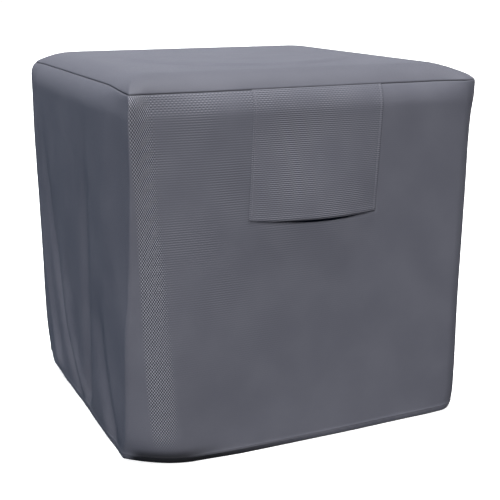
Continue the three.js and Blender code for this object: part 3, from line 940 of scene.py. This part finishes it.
def wall_lattice(across, down):
    """Most beside the front left crease, and a little along the front's seam."""
    beside_crease = within(across + down * CREASE_SLANT, CREASE_BAND) * down.ramp(0.02, 0.12)
    under_seam = down.ramp(0.775, 0.80) * within(across, UNDER_SEAM_BAND)
    return beside_crease * CREASE_LATTICE + under_seam * UNDER_SEAM_LATTICE + LEAST_LATTICE


def wall_picks(across, down):
    """The front's upper left part, which fades down and to the right."""
    return within(across, PICKS_BAND) * down.ramp(0.05, 0.6) * WALL_PICKS_SHOWN + LEAST_PICKS


def wall_stitches(across, down):
    """The line that holds the turned hem, outside and inside, and a pale line along the ridge above it.
    """
    line = line_at(down.math("ABSOLUTE"), HEM_DEPTH * MM)
    pale_line = 1 - (down - (HEM_DEPTH + 1) * MM).math("ABSOLUTE").ramp(0.5 * MM, 2 * MM)
    return dashes(across) * line * HEM_STITCHES + pale_line * within(across, PALE_RIDGE_BAND) * PALE_RIDGE


def wall_foot_painted_shade(across, down):
    """Painted shade: the turned hem, its lower edge most, the band above it on the front, the left
    side's foot and the curled foot of the front left corner.
    """
    front = within(across, FRONT_BAND) * (1 - across.ramp(1.0, 1.4) * 0.8)
    edge = 1 - down.ramp(0.001, 0.004)
    hem = 1 - down.ramp(0.010, 0.0125)
    above = 1 - down.ramp(0.012, 0.07)
    curled_foot = within(across, LEFT_FOOT_BAND) * (1 - down.ramp(0.014, 0.042))
    left_hem = within(across, LEFT_HEM_BAND) * (1 - down.ramp(0.01, 0.16))
    on_front = (hem * HEM_DARK + above * ABOVE_HEM_DARK) * front
    on_left = curled_foot * CURLED_DARK + left_hem * LEFT_HEM_DARK
    return (edge * EDGE_DARK + hem * HEM_DARK_ALL_ROUND + on_front + on_left).ramp(0, 1)


def top_edges_painted_shade(across, down):
    """Painted shade on the front and left edges of the top, which are painted darker than its middle.
    """
    return (1 - down.ramp(-0.43, -0.26)) * 0.14 + (1 - across.ramp(-0.43, -0.25)) * 0.1


def flap_stitches(across, down):
    """The lines that hold the flap's sides to the wall and its turned foot."""
    left = line_at(across, (FRONT * SIDE + HALF + FLAP_LEFT + FLAP_EDGE) * MM)
    right = line_at(across, (FRONT * SIDE + HALF + FLAP_RIGHT - FLAP_EDGE) * MM)
    foot = line_at(down, (FLAP_BOTTOM + FLAP_FOOT) * MM)
    return (left + right) * dashes(down) + foot * dashes(across)


def flap_picks(across, down):
    """All over the flap, less to the right and less on the roll."""
    return (1 - across.ramp(1.3, 1.5)) * 0.2 + 0.65 - down.ramp(0.74, 0.80) * 0.3


def nowhere(across, down):
    return across * 0


wall_finish = cloth_finish(
    "cover_cloth", WALL_PICKS, wall_lattice, wall_picks, wall_stitches, wall_foot_painted_shade
)
flap_finish = cloth_finish(
    "cover_cloth_flap",
    FLAP_PICKS,
    lambda across, down: down.ramp(0.76, 0.80) * 0.15 + 0.1,
    flap_picks,
    flap_stitches,
    nowhere,
)
top_finish = cloth_finish(
    "cover_cloth_top",
    WALL_PICKS,
    lambda across, down: nowhere(across, down) + LEAST_LATTICE,
    lambda across, down: nowhere(across, down) + 0.04,
    nowhere,
    top_edges_painted_shade,
)
for piece, finish in ((wall, wall_finish), (flap, flap_finish), (top, top_finish)):
    piece.data.materials.clear()
    piece.data.materials.append(finish)
print("cloth finish of", len(wall_finish.node_tree.nodes), "nodes")

# %% [markdown]
# ## The studio
# The photograph has plain white all round, so the floor is lit, pale and large, and the light is
# soft. A big light straight above makes the top the brightest face. A weaker one from the front
# left meets the front more squarely than the left side, and the sky is darker and bluer on the
# left and behind, so the left side stays in cool shade. A weak low light from behind right keeps
# the hidden sides from going black when the cover is turned.

# %% Floor
FLOOR_REACH = 60
floor_mesh = bpy.data.meshes.new("floor")
corners = [(-1, -1, 0), (1, -1, 0), (1, 1, 0), (-1, 1, 0)]
floor_mesh.from_pydata([Vector(c) * FLOOR_REACH for c in corners], [], [(0, 1, 2, 3)])
floor = bpy.data.objects.new("floor", floor_mesh)
floor.location.z = -MM
floor.visible_diffuse = False
floor.visible_glossy = False
bpy.context.scene.collection.objects.link(floor)
FLOOR_GLOW = 0.55
floor_finish = new_finish(
    "floor",
    Base_Color=(0.93, 0.93, 0.93, 1),
    Roughness=0.9,
    Emission_Color=(1, 1, 1, 1),
    Emission_Strength=FLOOR_GLOW,
)
floor_mesh.materials.append(floor_finish.owner)
print("floor", 2 * FLOOR_REACH, "m square")

# %% [markdown]
# A white screen stands round the floor, so that the background is plain from every side. Light
# passes through it: only the camera sees it, and it changes nothing on the cloth.

# %% Backdrop
SCREEN_REACH, SCREEN_HEIGHT, SCREEN_FACES = 45, 30, 48
screen_points = []
for number in range(SCREEN_FACES):
    angle = number * 2 * math.pi / SCREEN_FACES
    x, y = SCREEN_REACH * math.cos(angle), SCREEN_REACH * math.sin(angle)
    screen_points += [(x, y, -MM), (x, y, SCREEN_HEIGHT)]
screen_faces = []
for first in range(0, 2 * SCREEN_FACES, 2):
    after = (first + 2) % (2 * SCREEN_FACES)
    screen_faces.append((first, first + 1, after + 1, after))
screen_mesh = bpy.data.meshes.new("backdrop")
screen_mesh.from_pydata(screen_points, [], screen_faces)
screen = bpy.data.objects.new("backdrop", screen_mesh)
for kind_of_ray in ("diffuse", "glossy", "transmission", "shadow"):
    setattr(screen, "visible_" + kind_of_ray, False)
bpy.context.scene.collection.objects.link(screen)
screen_finish = new_finish(
    "backdrop", Base_Color=(0, 0, 0, 1), Emission_Color=(1, 1, 1, 1), Emission_Strength=1.0
)
screen_mesh.materials.append(screen_finish.owner)
print("backdrop of", len(screen_faces), "faces")

# %% World and suns
world = bpy.data.worlds.new("studio")
bpy.context.scene.world = world
sky = Shader(world, "Background", Strength=1.0)
sideways, forwards, upwards = sky.split(sky.node("ShaderNodeTexCoord"))
SKY_ABOVE = (0.30, 0.31, 0.33, 1)
SKY_BELOW = (0.02, 0.02, 0.025, 1)
SKY_SHADED = (0.05, 0.10, 0.17, 1)
SKY_BEHIND = (1.1, 1.15, 1.25, 1)
HORIZON = (-0.15, 0.02)
SHADED_PART = (-0.1, 0.7)
BEHIND, OVER_HORIZON = (0.75, 0.95), (-0.02, 0.08)
lit_sky = sky.mix(upwards.ramp(*HORIZON), SKY_BELOW, SKY_ABOVE)
left_and_back = forwards * 0.6 - sideways * 0.8
shaded_sky = sky.mix(left_and_back.ramp(*SHADED_PART), lit_sky, SKY_SHADED)
bright_behind = forwards.ramp(*BEHIND) * upwards.ramp(*OVER_HORIZON)
sky.paint("Color", sky.mix(bright_behind, shaded_sky, SKY_BEHIND))


def sun(name, azimuth, elevation, strength, softness):
    """A far, soft light. Azimuth 0 comes from the front and -90 from the left."""
    data = bpy.data.lights.new(name, "SUN")
    data.energy = strength
    data.angle = math.radians(softness)
    made = bpy.data.objects.new(name, data)
    a, e = math.radians(azimuth), math.radians(elevation)
    towards = Vector((math.sin(a) * math.cos(e), -math.cos(a) * math.cos(e), math.sin(e)))
    made.rotation_mode = "QUATERNION"
    made.rotation_quaternion = towards.to_track_quat("Z", "Y")
    bpy.context.scene.collection.objects.link(made)
    return made


sun("overhead", 0, 90, 4.6, 18)
sun("front_left", -31, 22, 2.8, 40)
sun("back_right", 120, 5, 1.2, 16)
bpy.context.scene.view_settings.view_transform = "Standard"
print("sky and three suns placed")

# %% [markdown]
# ## Fit to the frame
# Each dressed sheet rides on the cover's one body and stands for its solid, which is hidden. The
# table also lists how large each sheet's cloth was cut, its area, how it is held and what it lies on.

# %% Ride and replace
PIECES = [
    {"piece": wall, "node": "wall", "flat": (3.39, 0.86), "area": None, "held": "hung", "on": [top]},
    {"piece": top, "node": "top_panel", "flat": (0.88, 0.88), "area": 0.73, "held": "stretched",
     "on": [wall]},
    {"piece": flap, "node": "vent_flap", "flat": (0.33, 0.30), "area": None, "held": "hung",
     "on": [wall]},
]
for row in PIECES:
    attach(row["piece"], "root")
    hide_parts(row["node"])
    print(row["piece"].name, "stands for", row["node"])
